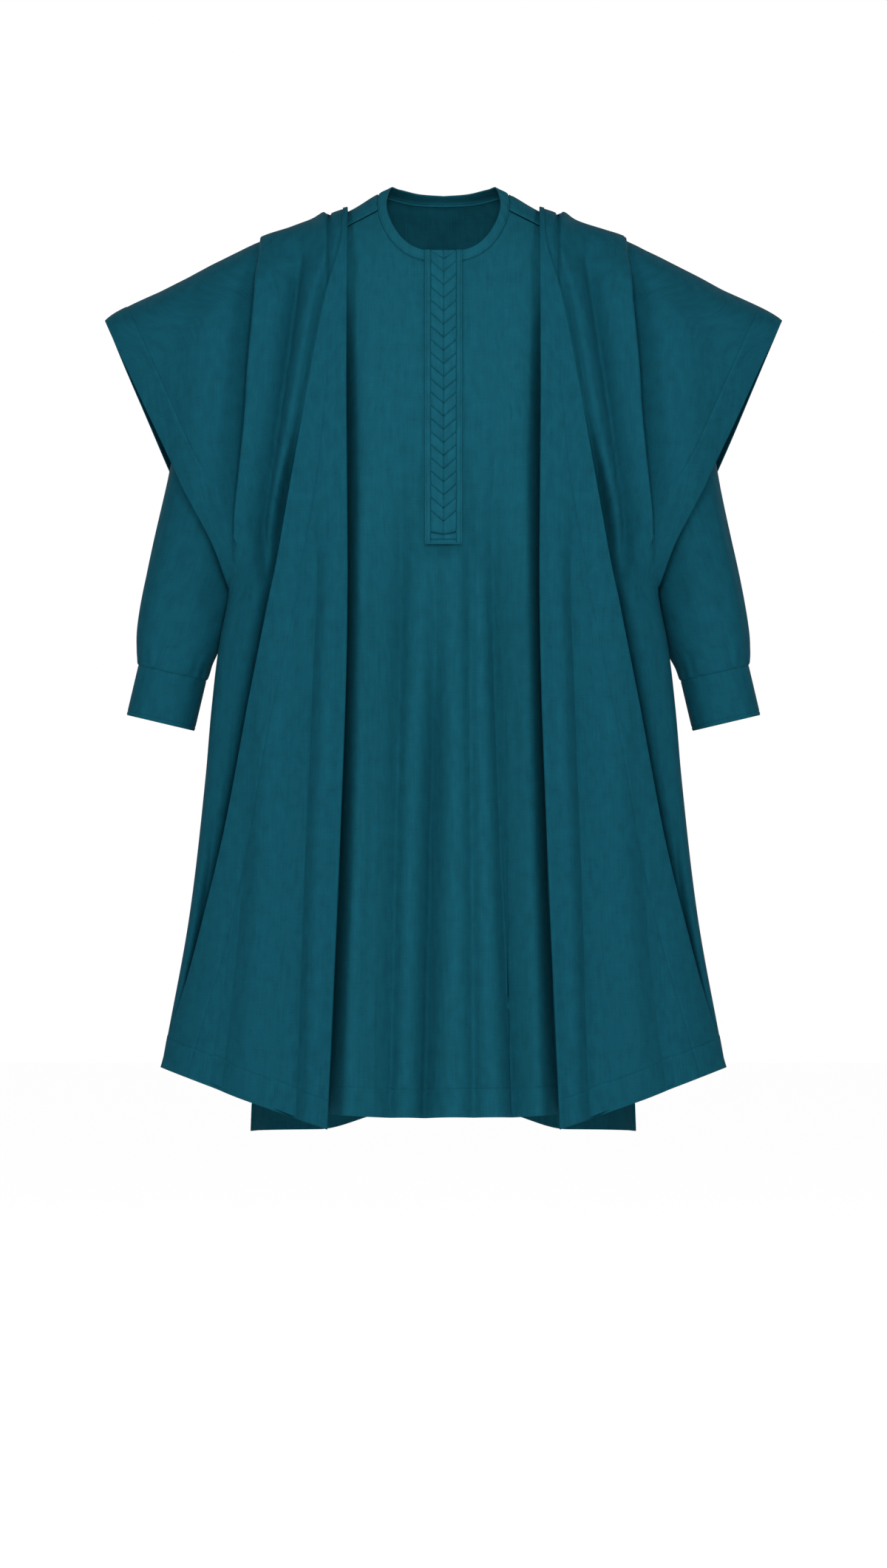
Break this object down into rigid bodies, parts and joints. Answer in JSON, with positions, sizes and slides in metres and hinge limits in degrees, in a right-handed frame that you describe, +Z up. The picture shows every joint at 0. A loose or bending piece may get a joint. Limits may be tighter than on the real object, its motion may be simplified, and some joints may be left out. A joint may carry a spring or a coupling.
{
  "type": "grand boubou robe",
  "caption": "Wide-sleeved grand boubou robe with turned-back fronts over a round-necked body with a chevron placket, long sleeves and cuffs.",
  "frame": {"origin": "middle of the neck opening at the height of the shoulder line, where the wearer's shoulders carry the garment", "axes": "+Z up the body, front facing -Y, +X towards the viewer's right"},
  "size_m": [0.8128, 0.3053, 1.1344],
  "materials": {
    "robe_cloth": "matte plain weave, teal",
    "body_cloth": "matte plain weave, teal",
    "sleeve_cloth": "matte plain weave, teal",
    "trim_cloth": "matte plain weave, two layers, topstitched"
  },
  "bodies": {
    "root": {"body_front": "body_cloth", "body_back": "body_cloth", "neck_band": "trim_cloth", "placket": "trim_cloth", "sleeve_left": "sleeve_cloth", "sleeve_right": "sleeve_cloth", "cuff_left": "trim_cloth", "cuff_right": "trim_cloth", "robe_front_left": "robe_cloth", "robe_front_right": "robe_cloth", "robe_back": "robe_cloth"}
  },
  "joints": []
}
